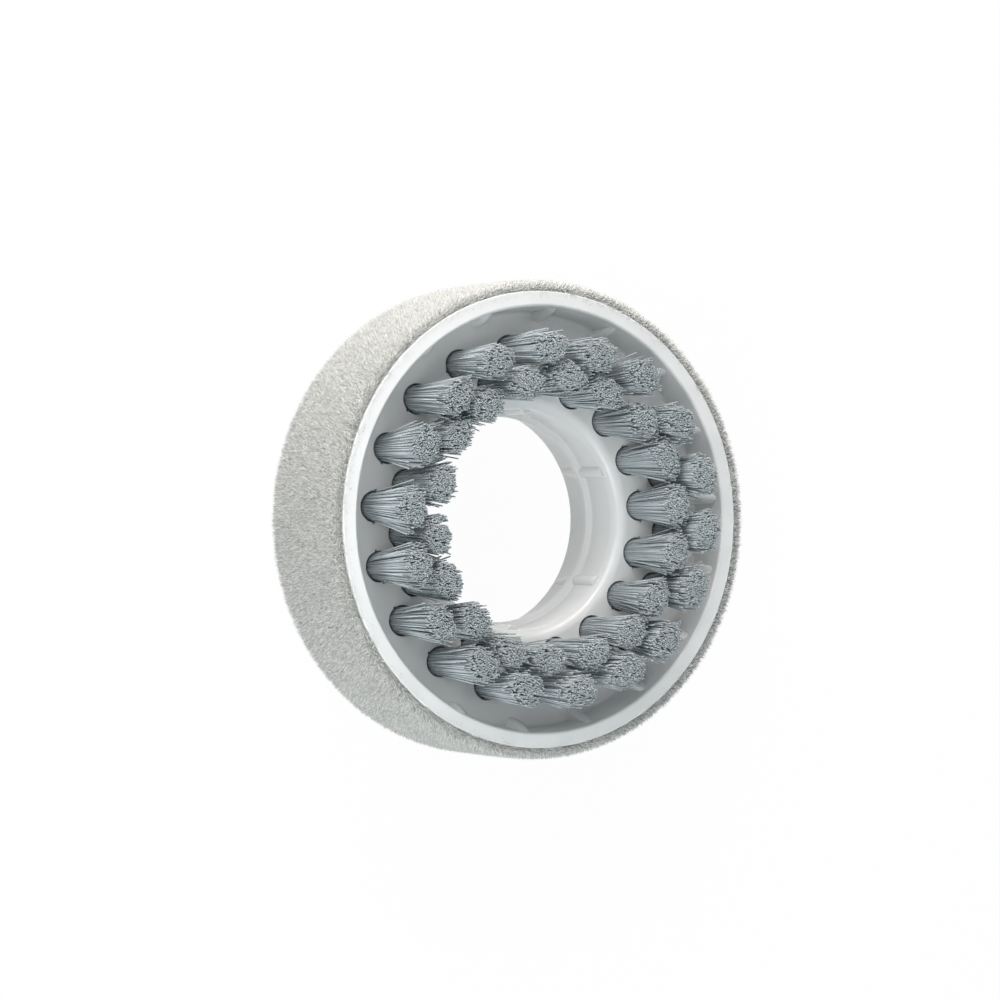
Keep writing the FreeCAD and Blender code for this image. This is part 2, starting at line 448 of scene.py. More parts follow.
def pile_yarn(settings, name, darkest, lightest):
    """Cut polyester pile: light grey, matt, darker at its roots as painted shade, no two fibres quite the
    same grey.
    """
    material, tree = new_material(name)
    place = add_node(tree, "ShaderNodeTexCoord").outputs["Object"]
    shade = add_node(tree, "ShaderNodeAttribute", attribute_name="shade").outputs["Fac"]
    along = add_node(tree, "ShaderNodeAttribute", attribute_name="along").outputs["Fac"]
    level = add_node(
        tree, "ShaderNodeMapRange",
        {"Value": shade, "To Min": darkest, "To Max": lightest},
    )
    # Painted shade: each fibre darkens towards its root, where shade falls among the fibres; the core, with
    # no along value, takes the root's darkness
    root = add_node(
        tree, "ShaderNodeMapRange",
        {"Value": along, "From Max": 0.6, "To Min": 0.82, "To Max": 1.06},
    )
    patches = add_node(
        tree, "ShaderNodeTexNoise",
        {"Vector": place, "Scale": 1 / (0.4 * MM), "Detail": 2.0, "Roughness": 0.6},
    )
    patch_level = add_node(
        tree, "ShaderNodeMapRange",
        {"Value": patches.outputs["Fac"], "From Min": 0.3, "From Max": 0.7, "To Min": 0.84, "To Max": 1.13},
    )
    hue = add_node(
        tree, "ShaderNodeMix",
        {0: patches.outputs["Fac"], 6: settings.pile, 7: settings.warm}, data_type="RGBA",
    )
    with_root_shade = add_node(
        tree, "ShaderNodeMath",
        {0: level.outputs["Result"], 1: root.outputs["Result"]}, operation="MULTIPLY",
    )
    patched = add_node(
        tree, "ShaderNodeMath",
        {0: with_root_shade.outputs[0], 1: patch_level.outputs["Result"]}, operation="MULTIPLY",
    )
    tint = add_node(
        tree, "ShaderNodeVectorMath",
        {0: hue.outputs[2], "Scale": patched.outputs[0]}, operation="SCALE",
    )
    shader = add_node(
        tree, "ShaderNodeBsdfPrincipled",
        {"Base Color": tint.outputs["Vector"], "Roughness": 0.85, "IOR": POLYESTER_IOR},
    )
    finish_material(tree, shader)
    return material


def named_input(tree, name, kind, value):
    """Add a named input to a node tree's interface."""
    socket = tree.interface.new_socket(name, in_out="INPUT", socket_type=kind)
    if value is not None:
        socket.default_value = value


def random_draw(tree, seed, offset, low, high):
    """A random number or vector for each point, with an offset to the seed so that no two draws agree."""
    index = add_node(tree, "GeometryNodeInputIndex").outputs[0]
    own_seed = add_node(tree, "ShaderNodeMath", {0: seed, 1: offset}, operation="ADD")
    if isinstance(low, tuple):
        drawn = add_node(
            tree, "FunctionNodeRandomValue",
            {0: low, 1: high, "ID": index, "Seed": own_seed.outputs[0]}, data_type="FLOAT_VECTOR",
        )
        return drawn.outputs[0]
    drawn = add_node(
        tree, "FunctionNodeRandomValue",
        {2: low, 3: high, "ID": index, "Seed": own_seed.outputs[0]}, data_type="FLOAT",
    )
    return drawn.outputs[1]


def store(tree, geometry, name, value, data_type="FLOAT", domain="POINT"):
    """Store a value on the geometry as a named attribute."""
    stored = add_node(
        tree, "GeometryNodeStoreNamedAttribute",
        {"Geometry": geometry, "Name": name, "Value": value}, data_type=data_type, domain=domain,
    )
    return stored.outputs[0]


def stored_value(tree, name, data_type="FLOAT"):
    """Read a named attribute back."""
    read = add_node(tree, "GeometryNodeInputNamedAttribute", {"Name": name}, data_type=data_type)
    return read.outputs[0]


def finish_tree(tree, geometry, material):
    """Give the geometry its material and hand it out of the tree."""
    dressed = add_node(
        tree, "GeometryNodeSetMaterial", {"Geometry": geometry, "Material": material},
    )
    add_node(tree, "NodeGroupOutput", {0: dressed.outputs[0]})


def grow(name, base_mesh, tree, values):
    """Run a node tree on a mesh, and return the result as a plain mesh object."""
    host = bpy.data.objects.new(name, base_mesh)
    bpy.context.scene.collection.objects.link(host)
    modifier = host.modifiers.new("Grow", "NODES")
    modifier.node_group = tree
    for item in tree.interface.items_tree:
        if item.item_type == "SOCKET" and item.in_out == "INPUT" and item.name in values:
            modifier[item.identifier] = values[item.name]
    evaluated = host.evaluated_get(bpy.context.evaluated_depsgraph_get())
    grown = bpy.data.meshes.new_from_object(evaluated)
    grown.name = name
    host.modifiers.remove(modifier)
    host.data = grown
    return host


def bristle_tree():
    """One tuft: filaments set in a disc, straight in their hole and fanned out above it."""
    tree = bpy.data.node_groups.new("Bristle Tuft", "GeometryNodeTree")
    tree.interface.new_socket("Geometry", in_out="OUTPUT", socket_type="NodeSocketGeometry")
    named_input(tree, "Filaments", "NodeSocketInt", 380)
    named_input(tree, "Filament Radius", "NodeSocketFloat", 0.105 * MM)
    named_input(tree, "Stem Radius", "NodeSocketFloat", 2.45 * MM)
    named_input(tree, "Tip Spread", "NodeSocketVector", (0, 0, 0))
    named_input(tree, "Tuft Lean", "NodeSocketVector", (0, 0, 0))
    named_input(tree, "Stray Spread", "NodeSocketVector", (1.3 * MM, 2.0 * MM, 0))
    named_input(tree, "Stray Drop", "NodeSocketFloat", 1.3 * MM)
    named_input(tree, "Scatter", "NodeSocketVector", (0.07 * MM, 0.07 * MM, 0.16 * MM))
    named_input(tree, "Clump Scatter", "NodeSocketVector", (0.13 * MM, 0.2 * MM, 0.12 * MM))
    named_input(tree, "Groove Depth", "NodeSocketFloat", 0.4 * MM)
    named_input(tree, "Anchor Gap", "NodeSocketFloat", 0.25 * MM)
    named_input(tree, "Ring Radius", "NodeSocketFloat", 0.0)
    named_input(tree, "Ring Angle", "NodeSocketFloat", 0.0)
    named_input(tree, "Hole Bottom", "NodeSocketFloat", 0.0)
    named_input(tree, "Floor Share", "NodeSocketFloat", 0.31)
    named_input(tree, "Length", "NodeSocketFloat", 0.0)
    named_input(tree, "Crown", "NodeSocketFloat", 0.5 * MM)
    named_input(tree, "Seed", "NodeSocketInt", 0)
    named_input(tree, "Material", "NodeSocketMaterial", None)
    given = add_node(tree, "NodeGroupInput").outputs

    # Sunflower disc of filaments, with the radius in X and Y from 0 to 1
    index = add_node(tree, "GeometryNodeInputIndex").outputs[0]
    rank = add_node(tree, "ShaderNodeMath", {0: index, 1: 0.5}, operation="ADD")
    share = add_node(
        tree, "ShaderNodeMath", {0: rank.outputs[0], 1: given["Filaments"]}, operation="DIVIDE",
    )
    reach = add_node(tree, "ShaderNodeMath", {0: share.outputs[0]}, operation="SQRT")
    turn = add_node(tree, "ShaderNodeMath", {0: index, 1: GOLDEN_ANGLE}, operation="MULTIPLY")
    cosine = add_node(tree, "ShaderNodeMath", {0: turn.outputs[0]}, operation="COSINE")
    sine = add_node(tree, "ShaderNodeMath", {0: turn.outputs[0]}, operation="SINE")
    circle = add_node(tree, "ShaderNodeCombineXYZ", {"X": cosine.outputs[0], "Y": sine.outputs[0]})
    disc = add_node(
        tree, "ShaderNodeVectorMath", {0: circle.outputs[0], "Scale": reach.outputs[0]}, operation="SCALE",
    )
    shade = random_draw(tree, given["Seed"], 0.0, 0.0, 1.0)

    # How far each tip leans away from the filament's place in the disc
    scatter = random_draw(tree, given["Seed"], 101.0, (-1.0, -1.0, -1.0), (1.0, 1.0, 0.25))
    scattered = add_node(
        tree, "ShaderNodeVectorMath", {0: scatter, 1: given["Scatter"]}, operation="MULTIPLY",
    )
    # Neighbours that share a cell of the disc stick together as one strand
    cell = add_node(
        tree, "ShaderNodeVectorMath",
        {0: disc.outputs[0], 1: (STRAND_CELL, STRAND_CELL, 1.0)}, operation="SNAP",
    )
    cell_draw = add_node(
        tree, "ShaderNodeTexWhiteNoise",
        {"Vector": cell.outputs[0], "W": given["Seed"]}, noise_dimensions="4D",
    )
    stray_strand = add_node(
        tree, "ShaderNodeMapRange",
        {"Value": cell_draw.outputs["Value"], "From Min": 0.8, "To Max": 0.7},
    )
    stray_draw = random_draw(tree, given["Seed"], 202.0, 0.0, 1.0)
    stray_share = add_node(tree, "ShaderNodeMapRange", {"Value": stray_draw, "From Min": 0.45})
    stray_filament = add_node(
        tree, "ShaderNodeMath", {0: stray_share.outputs["Result"], 1: 1.6}, operation="POWER",
    )
    stray = add_node(
        tree, "ShaderNodeMath",
        {0: stray_strand.outputs["Result"], 1: stray_filament.outputs[0]}, operation="MAXIMUM",
    )
    stray_spread = add_node(
        tree, "ShaderNodeVectorMath",
        {0: given["Stray Spread"], "Scale": stray.outputs[0]}, operation="SCALE",
    )
    spread = add_node(
        tree, "ShaderNodeVectorMath",
        {0: given["Tip Spread"], 1: stray_spread.outputs[0]}, operation="ADD",
    )
    fanned = add_node(
        tree, "ShaderNodeVectorMath",
        {0: disc.outputs[0], 1: spread.outputs[0], 2: scattered.outputs[0]}, operation="MULTIPLY_ADD",
    )
    cell_centred = add_node(
        tree, "ShaderNodeVectorMath",
        {0: cell_draw.outputs["Color"], 1: (0.5, 0.5, 0.8)}, operation="SUBTRACT",
    )
    strand = add_node(
        tree, "ShaderNodeVectorMath",
        {0: cell_centred.outputs[0], 1: given["Clump Scatter"], 2: fanned.outputs[0]},
        operation="MULTIPLY_ADD",
    )
    # The strands round the tuft, with a groove between each two
    strand_turn = add_node(tree, "ShaderNodeMath", {0: turn.outputs[0], 1: STRANDS}, operation="MULTIPLY")
    lobe = add_node(tree, "ShaderNodeMath", {0: strand_turn.outputs[0]}, operation="COSINE")
    groove = add_node(
        tree, "ShaderNodeMapRange",
        {"Value": lobe.outputs[0], "From Min": -1.0, "To Min": -1.0, "To Max": 0.0},
    )
    groove_depth = add_node(
        tree, "ShaderNodeMath",
        {0: groove.outputs["Result"], 1: given["Groove Depth"]}, operation="MULTIPLY",
    )
    grooved = add_node(
        tree, "ShaderNodeVectorMath",
        {0: disc.outputs[0], "Scale": groove_depth.outputs[0]}, operation="SCALE",
    )
    lobed = add_node(
        tree, "ShaderNodeVectorMath", {0: strand.outputs[0], 1: grooved.outputs[0]}, operation="ADD",
    )
    leaned = add_node(
        tree, "ShaderNodeVectorMath", {0: lobed.outputs[0], 1: given["Tuft Lean"]}, operation="ADD",
    )
    edge = add_node(tree, "ShaderNodeMath", {0: share.outputs[0], 1: 2.0}, operation="POWER")
    crown = add_node(tree, "ShaderNodeMath", {0: given["Crown"], 1: -1.0}, operation="MULTIPLY")
    domed = add_node(
        tree, "ShaderNodeMath", {0: edge.outputs[0], 1: crown.outputs[0]}, operation="MULTIPLY",
    )
    # A filament that strays outwards ends lower
    stray_edge = add_node(
        tree, "ShaderNodeMath", {0: stray.outputs[0], 1: share.outputs[0]}, operation="MULTIPLY",
    )
    stray_drop = add_node(tree, "ShaderNodeMath", {0: given["Stray Drop"], 1: -1.0}, operation="MULTIPLY")
    drop = add_node(
        tree, "ShaderNodeMath", {0: stray_edge.outputs[0], 1: stray_drop.outputs[0], 2: domed.outputs[0]},
        operation="MULTIPLY_ADD",
    )
    drop_vector = add_node(tree, "ShaderNodeCombineXYZ", {"Z": drop.outputs[0]})
    lean = add_node(
        tree, "ShaderNodeVectorMath", {0: leaned.outputs[0], 1: drop_vector.outputs[0]}, operation="ADD",
    )

    points = add_node(tree, "GeometryNodePoints", {"Count": given["Filaments"]})
    with_disc = store(tree, points.outputs[0], "disc", disc.outputs[0], "FLOAT_VECTOR")
    with_lean = store(tree, with_disc, "lean", lean.outputs[0], "FLOAT_VECTOR")
    with_shade = store(tree, with_lean, "shade", shade)

    # The plain filament: a four-sided tube of unit radius and unit length, in two runs
    tube = add_node(
        tree, "GeometryNodeMeshCylinder",
        {"Vertices": 4, "Side Segments": 2, "Radius": 1.0, "Depth": 1.0}, fill_type="NGON",
    )
    tube_place = add_node(tree, "GeometryNodeInputPosition").outputs[0]
    tube_parts = add_node(tree, "ShaderNodeSeparateXYZ", {0: tube_place})
    level = add_node(tree, "ShaderNodeMath", {0: tube_parts.outputs["Z"], 1: 0.5}, operation="ADD")
    # The tube's middle ring goes to the mouth of the hole, and the filament runs straight from there
    to_top = add_node(tree, "ShaderNodeMath", {0: 1.0, 1: level.outputs[0]}, operation="SUBTRACT")
    floor_pull = add_node(
        tree, "ShaderNodeMath", {0: given["Floor Share"], 1: 4.0}, operation="MULTIPLY",
    )
    lower = add_node(
        tree, "ShaderNodeMath", {0: to_top.outputs[0], 1: floor_pull.outputs[0]}, operation="MULTIPLY",
    )
    upper = add_node(
        tree, "ShaderNodeMath", {0: level.outputs[0], 1: 2.0, 2: -1.0}, operation="MULTIPLY_ADD",
    )
    bent = add_node(tree, "ShaderNodeMath", {0: lower.outputs[0], 1: upper.outputs[0]}, operation="ADD")
    along = add_node(
        tree, "ShaderNodeMath", {0: level.outputs[0], 1: bent.outputs[0]}, operation="MULTIPLY",
    )
    tube_along = store(tree, tube.outputs["Mesh"], "along", along.outputs[0])
    tube_cut = store(tree, tube_along, "cut_end", tube.outputs["Top"], domain="FACE")
    tube_flat = add_node(
        tree, "GeometryNodeSetShadeSmooth", {"Geometry": tube_cut, "Shade Smooth": False},
    )
    tube_smooth = add_node(
        tree, "GeometryNodeSetShadeSmooth",
        {"Geometry": tube_flat.outputs[0], "Selection": tube.outputs["Side"]},
    )
    placed = add_node(
        tree, "GeometryNodeInstanceOnPoints", {"Points": with_shade, "Instance": tube_smooth.outputs[0]},
    )
    real = add_node(tree, "GeometryNodeRealizeInstances", {"Geometry": placed.outputs[0]})

    # Carry every filament from its place in the hole to its own tip
    disc_here = stored_value(tree, "disc", "FLOAT_VECTOR")
    lean_here = stored_value(tree, "lean", "FLOAT_VECTOR")
    along_here = stored_value(tree, "along")
    here = add_node(tree, "GeometryNodeInputPosition").outputs[0]
    flat = add_node(tree, "ShaderNodeVectorMath", {0: here, 1: (1.0, 1.0, 0.0)}, operation="MULTIPLY")
    taper = add_node(
        tree, "ShaderNodeMapRange",
        {"Value": along_here, "From Min": 0.3, "To Min": 1.0, "To Max": 1.25},
    )
    thick = add_node(
        tree, "ShaderNodeMath", {0: taper.outputs[0], 1: given["Filament Radius"]}, operation="MULTIPLY",
    )
    section = add_node(
        tree, "ShaderNodeVectorMath", {0: flat.outputs[0], "Scale": thick.outputs[0]}, operation="SCALE",
    )
    stem = add_node(
        tree, "ShaderNodeVectorMath", {0: disc_here, "Scale": given["Stem Radius"]}, operation="SCALE",
    )
    above = add_node(
        tree, "ShaderNodeMapRange", {"Value": along_here, "From Min": given["Floor Share"]},
    )
    leaning = add_node(
        tree, "ShaderNodeVectorMath", {0: lean_here, "Scale": above.outputs[0]}, operation="SCALE",
    )
    disc_parts = add_node(tree, "ShaderNodeSeparateXYZ", {0: disc_here})
    side = add_node(tree, "ShaderNodeMath", {0: disc_parts.outputs["X"]}, operation="SIGN")
    below = add_node(
        tree, "ShaderNodeMapRange",
        {"Value": along_here, "From Max": given["Floor Share"],
         "To Min": given["Anchor Gap"], "To Max": 0.0},
    )
    parted = add_node(
        tree, "ShaderNodeMath", {0: side.outputs[0], 1: below.outputs[0]}, operation="MULTIPLY",
    )
    rise = add_node(
        tree, "ShaderNodeMath",
        {0: along_here, 1: given["Length"], 2: given["Hole Bottom"]}, operation="MULTIPLY_ADD",
    )
    ring_x = add_node(
        tree, "ShaderNodeMath", {0: parted.outputs[0], 1: given["Ring Radius"]}, operation="ADD",
    )
    carried = add_node(tree, "ShaderNodeCombineXYZ", {"X": ring_x.outputs[0], "Z": rise.outputs[0]})
    sum_one = add_node(
        tree, "ShaderNodeVectorMath", {0: section.outputs[0], 1: stem.outputs[0]}, operation="ADD",
    )
    sum_two = add_node(
        tree, "ShaderNodeVectorMath", {0: sum_one.outputs[0], 1: leaning.outputs[0]}, operation="ADD",
    )
    sum_all = add_node(
        tree, "ShaderNodeVectorMath", {0: sum_two.outputs[0], 1: carried.outputs[0]}, operation="ADD",
    )
    shaped = add_node(
        tree, "GeometryNodeSetPosition", {"Geometry": real.outputs[0], "Position": sum_all.outputs[0]},
    )
    turned = add_node(tree, "ShaderNodeCombineXYZ", {"Z": given["Ring Angle"]})
    swung = add_node(
        tree, "GeometryNodeTransform", {"Geometry": shaped.outputs[0], "Rotation": turned.outputs[0]},
    )
    finish_tree(tree, swung.outputs[0], given["Material"])
    return tree


def pile_tree():
    """Pile: short straight spikes standing on the core, leaning with a slow drift and at random."""
    tree = bpy.data.node_groups.new("Pile Fibres", "GeometryNodeTree")
    tree.interface.new_socket("Geometry", in_out="OUTPUT", socket_type="NodeSocketGeometry")
    named_input(tree, "Core", "NodeSocketGeometry", None)
    named_input(tree, "Density", "NodeSocketFloat", 1e7)
    named_input(tree, "Fibre Radius", "NodeSocketFloat", 0.1 * MM)
    named_input(tree, "Fibre Length", "NodeSocketFloat", 1.2 * MM)
    named_input(tree, "Clear Radius", "NodeSocketFloat", 40.3 * MM)
    named_input(tree, "First Angle", "NodeSocketFloat", 0.0)
    named_input(tree, "Last Angle", "NodeSocketFloat", 0.0)
    named_input(tree, "Seed", "NodeSocketInt", 0)
    named_input(tree, "Material", "NodeSocketMaterial", None)
    given = add_node(tree, "NodeGroupInput").outputs

    place = add_node(tree, "GeometryNodeInputPosition").outputs[0]
    parts = add_node(tree, "ShaderNodeSeparateXYZ", {0: place})
    angle = add_node(
        tree, "ShaderNodeMath", {0: parts.outputs["Y"], 1: parts.outputs["X"]}, operation="ARCTAN2",
    )
    after = add_node(
        tree, "FunctionNodeCompare", {0: angle.outputs[0], 1: given["First Angle"]},
        data_type="FLOAT", operation="GREATER_EQUAL",
    )
    before = add_node(
        tree, "FunctionNodeCompare", {0: angle.outputs[0], 1: given["Last Angle"]},
        data_type="FLOAT", operation="LESS_THAN",
    )
    radius = add_node(tree, "ShaderNodeVectorMath", {0: place, 1: (1.0, 1.0, 0.0)}, operation="MULTIPLY")
    distance = add_node(tree, "ShaderNodeVectorMath", {0: radius.outputs[0]}, operation="LENGTH")
    outside = add_node(
        tree, "FunctionNodeCompare", {0: distance.outputs["Value"], 1: given["Clear Radius"]},
        data_type="FLOAT", operation="GREATER_THAN",
    )
    in_sweep = add_node(
        tree, "FunctionNodeBooleanMath", {0: after.outputs[0], 1: before.outputs[0]}, operation="AND",
    )
    chosen = add_node(
        tree, "FunctionNodeBooleanMath", {0: in_sweep.outputs[0], 1: outside.outputs[0]}, operation="AND",
    )
    sown = add_node(
        tree, "GeometryNodeDistributePointsOnFaces",
        {"Mesh": given["Core"], "Selection": chosen.outputs[0],
         "Density": given["Density"], "Seed": given["Seed"]},
    )
    shade = random_draw(tree, given["Seed"], 0.0, 0.0, 1.0)
    drift = add_node(
        tree, "ShaderNodeTexNoise", {"Scale": 1 / (1.2 * MM), "Detail": 2.0, "Roughness": 0.6},
    )
    drift_centred = add_node(
        tree, "ShaderNodeVectorMath",
        {0: drift.outputs["Color"], 1: (0.5, 0.5, 0.5)}, operation="SUBTRACT",
    )
    jitter = random_draw(tree, given["Seed"], 77.0, (-0.6, -0.6, -0.6), (0.6, 0.6, 0.6))
    # Fibres on the end faces of the band stand outwards, as the pile beside them does
    normal_parts = add_node(tree, "ShaderNodeSeparateXYZ", {0: sown.outputs["Normal"]})
    ends = add_node(
        tree, "ShaderNodeMapRange",
        {"Value": normal_parts.outputs["Z"], "From Min": 0.4, "To Max": 0.35},
    )
    outward = add_node(tree, "ShaderNodeVectorMath", {0: radius.outputs[0]}, operation="NORMALIZE")
    falling = add_node(
        tree, "ShaderNodeVectorMath",
        {0: outward.outputs[0], "Scale": ends.outputs["Result"]}, operation="SCALE",
    )
    combed = add_node(
        tree, "ShaderNodeVectorMath", {0: sown.outputs["Normal"], 1: falling.outputs[0]}, operation="ADD",
    )
    leaned = add_node(
        tree, "ShaderNodeVectorMath", {0: combed.outputs[0], 1: drift_centred.outputs[0]}, operation="ADD",
    )
    direction = add_node(
        tree, "ShaderNodeVectorMath", {0: leaned.outputs[0], 1: jitter}, operation="ADD",
    )
    aligned = add_node(
        tree, "FunctionNodeAlignRotationToVector", {"Vector": direction.outputs[0]}, axis="Z",
    )
    spin = random_draw(tree, given["Seed"], 154.0, 0.0, math.tau)
    spin_vector = add_node(tree, "ShaderNodeCombineXYZ", {"Z": spin})
    spun = add_node(
        tree, "FunctionNodeRotateRotation",
        {"Rotation": aligned.outputs[0], "Rotate By": spin_vector.outputs[0]}, rotation_space="LOCAL",
    )
    length_draw = random_draw(tree, given["Seed"], 231.0, 0.7, 1.15)
    end_length = add_node(
        tree, "ShaderNodeMapRange",
        {"Value": normal_parts.outputs["Z"], "From Min": 0.4, "To Min": 1.0, "To Max": 1.5},
    )
    drawn_length = add_node(
        tree, "ShaderNodeMath", {0: length_draw, 1: end_length.outputs["Result"]}, operation="MULTIPLY",
    )
    length = add_node(
        tree, "ShaderNodeMath",
        {0: drawn_length.outputs[0], 1: given["Fibre Length"]}, operation="MULTIPLY",
    )
    size = add_node(
        tree, "ShaderNodeCombineXYZ",
        {"X": given["Fibre Radius"], "Y": given["Fibre Radius"], "Z": length.outputs[0]},
    )

    # The plain fibre: a three-sided spike of unit length
    spike = add_node(
        tree, "GeometryNodeMeshCone",
        {"Vertices": 3, "Radius Top": 0.0, "Radius Bottom": 1.0, "Depth": 1.0}, fill_type="NONE",
    )
    spike_place = add_node(tree, "GeometryNodeInputPosition").outputs[0]
    spike_parts = add_node(tree, "ShaderNodeSeparateXYZ", {0: spike_place})
    spike_along = store(tree, spike.outputs["Mesh"], "along", spike_parts.outputs["Z"])
    # Fibres on the end faces are painted lighter: painted light that lifts the end faces, which are seen
    # end-on into the shade among their roots
    shade_with_end_light = add_node(tree, "ShaderNodeMath", {0: ends.outputs["Result"], 1: shade}, operation="ADD")
    with_shade = store(tree, sown.outputs["Points"], "shade", shade_with_end_light.outputs[0])
    placed = add_node(
        tree, "GeometryNodeInstanceOnPoints",
        {"Points": with_shade, "Instance": spike_along,
         "Rotation": spun.outputs[0], "Scale": size.outputs[0]},
    )
    real = add_node(tree, "GeometryNodeRealizeInstances", {"Geometry": placed.outputs[0]})
    smooth = add_node(tree, "GeometryNodeSetShadeSmooth", {"Geometry": real.outputs[0]})
    finish_tree(tree, smooth.outputs[0], given["Material"])
    return tree


def turned_mesh(name, profile, segments):
    """A closed ring turned about the axis from a closed (radius, height) profile."""
    mesh = bpy.data.meshes.new(name)
    form = bmesh.new()
    rows = []
    for step in range(segments):
        turn = math.tau * step / segments
        rows.append([
            form.verts.new((radius * math.cos(turn), radius * math.sin(turn), height))
            for radius, height in profile
        ])
    for step, row in enumerate(rows):
        following = rows[(step + 1) % segments]
        for index in range(len(profile)):
            after = (index + 1) % len(profile)
            form.faces.new((row[index], following[index], following[after], row[after]))
    bmesh.ops.recalc_face_normals(form, faces=form.faces)
    for face in form.faces:
        face.smooth = True
    form.to_mesh(mesh)
    form.free()
    return mesh


class RINGBRUSH_OT_housing(bpy.types.Operator):
    """Give the moulding its plastic"""

    bl_idname = "ringbrush.housing"
    bl_label = "Finish the moulding"

    def execute(self, context):
        dress_node(HOUSING, moulded_plastic(context.scene.ringbrush_plastic))
        return {"FINISHED"}


class RINGBRUSH_OT_anchors(bpy.types.Operator):
    """Give the wire anchors their metal"""

    bl_idname = "ringbrush.anchors"
    bl_label = "Finish the anchors"

    def execute(self, context):
        dress_node(ANCHORS, flat_wire())
        return {"FINISHED"}


class RINGBRUSH_OT_tufts(bpy.types.Operator):
    """Grow the filaments of every bristle tuft"""

    bl_idname = "ringbrush.tufts"
    bl_label = "Grow the tufts"

    def execute(self, context):
        settings = context.scene.ringbrush_bristles
        material = nylon_filament(settings)
        tree = bristle_tree()
        stem_radius = BUNDLE_RADIUS - settings.radius
        for number, name in enumerate(TUFTS):
            low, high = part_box(name)
            middle = (low + high) / 2
            length = high.z - low.z
            sway = number * SWAY_STEP
            piece = grow(name + "_bristles", bpy.data.meshes.new(name), tree, {
                "Filaments": settings.filaments,
                "Filament Radius": settings.radius,
                "Stem Radius": stem_radius,
                "Tip Spread": (
                    settings.tip_half_depth - stem_radius, settings.tip_half_width - stem_radius, 0.0,
                ),
                "Tuft Lean": (
                    LEAN_OUTWARDS * math.sin(sway), LEAN_ROUND_RING * math.sin(SWAY_RATIO * sway), 0.0,
                ),
                "Ring Radius": math.hypot(middle.x, middle.y),
                "Ring Angle": math.atan2(middle.y, middle.x),
                "Hole Bottom": low.z,
                "Floor Share": (DISH_FLOOR - low.z) / length,
                "Length": length,
                "Seed": number * TUFT_SEED_STEP + FIRST_TUFT_SEED,
                "Material": material,
            })
            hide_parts(name)
            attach(piece, BODY)
        return {"FINISHED"}


class RINGBRUSH_OT_pile(bpy.types.Operator):
    """Make the pile sleeve: its dense core and the fibres that stand on it"""

    bl_idname = "ringbrush.pile"
    bl_label = "Grow the pile"

    def execute(self, context):
        settings = context.scene.ringbrush_pile
        profile = [(settings.backing_radius, PILE_BOTTOM)]
        for corner_z, direction in ((PILE_BOTTOM, 1), (PILE_TOP, -1)):
            arc = []
            for step in range(CORE_EDGE_STEPS + 1):
                turn = QUARTER_TURN * step / CORE_EDGE_STEPS
                arc.append((
                    settings.core_radius - CORE_EDGE_ROUND + CORE_EDGE_ROUND * math.sin(turn),
                    corner_z + direction * (CORE_EDGE_ROUND - CORE_EDGE_ROUND * math.cos(turn)),
                ))
            profile += arc if direction > 0 else arc[::-1]
        profile.append((settings.backing_radius, PILE_TOP))
        ring = turned_mesh("pile_backing", profile, CORE_SEGMENTS)
        core = bpy.data.objects.new("pile_backing", ring)
        context.scene.collection.objects.link(core)
        core.data.materials.append(pile_yarn(settings, "pile_ground", darkest=1.15, lightest=1.15))

        tree = pile_tree()
        fibre = pile_yarn(settings, "cut_polyester_pile", darkest=0.5, lightest=1.25)
        for quarter in range(4):
            first = -math.pi + quarter * QUARTER_TURN
            piece = grow("pile_fibres_%d" % (quarter + 1), core.data, tree, {
                "Density": settings.density,
                "Fibre Radius": settings.fibre_radius,
                "Fibre Length": PILE_TIP_RADIUS - settings.core_radius,
                "Clear Radius": RIM_RADIUS + FIBRE_RIM_GAP,
                "First Angle": first,
                "Last Angle": first + QUARTER_TURN,
                "Seed": FIRST_PILE_SEED + quarter,
                "Material": fibre,
            })
            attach(piece, BODY)
        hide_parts(SLEEVE)
        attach(core, BODY)
        return {"FINISHED"}


def direction_of(turn, rise):
    """A unit direction at a turn about the axis and a rise above the floor, in degrees."""
    turn, rise = math.radians(turn), math.radians(rise)
    return Vector((math.cos(turn) * math.cos(rise), math.sin(turn) * math.cos(rise), math.sin(rise)))


def add_softbox(name, turn, rise, level, tint):
    """A square area lamp that gives a facing white surface the stated level."""
    lamp = bpy.data.lights.new(name, "AREA")
    lamp.size = LAMP_SIZE
    lamp.energy = level * math.pi ** 2 * LAMP_DISTANCE ** 2
    lamp.color = colour(tint)[:3]
    holder = bpy.data.objects.new(name, lamp)
    bpy.context.scene.collection.objects.link(holder)
    middle = Vector((0, 0, RIM_TOP / 2))
    outwards = direction_of(turn, rise)
    holder.location = middle + outwards * LAMP_DISTANCE
    holder.rotation_euler = outwards.to_track_quat("Z", "Y").to_euler()


def plain_view(tree):
    """1 for the rays that should see plain white: the camera's, mirrored and refracted ones."""
    rays = add_node(tree, "ShaderNodeLightPath").outputs
    mirrored = add_node(
        tree, "ShaderNodeMath",
        {0: rays["Is Glossy Ray"], 1: rays["Is Transmission Ray"]}, operation="MAXIMUM",
    )
    return add_node(
        tree, "ShaderNodeMath", {0: rays["Is Camera Ray"], 1: mirrored.outputs[0]}, operation="MAXIMUM",
    ).outputs[0]


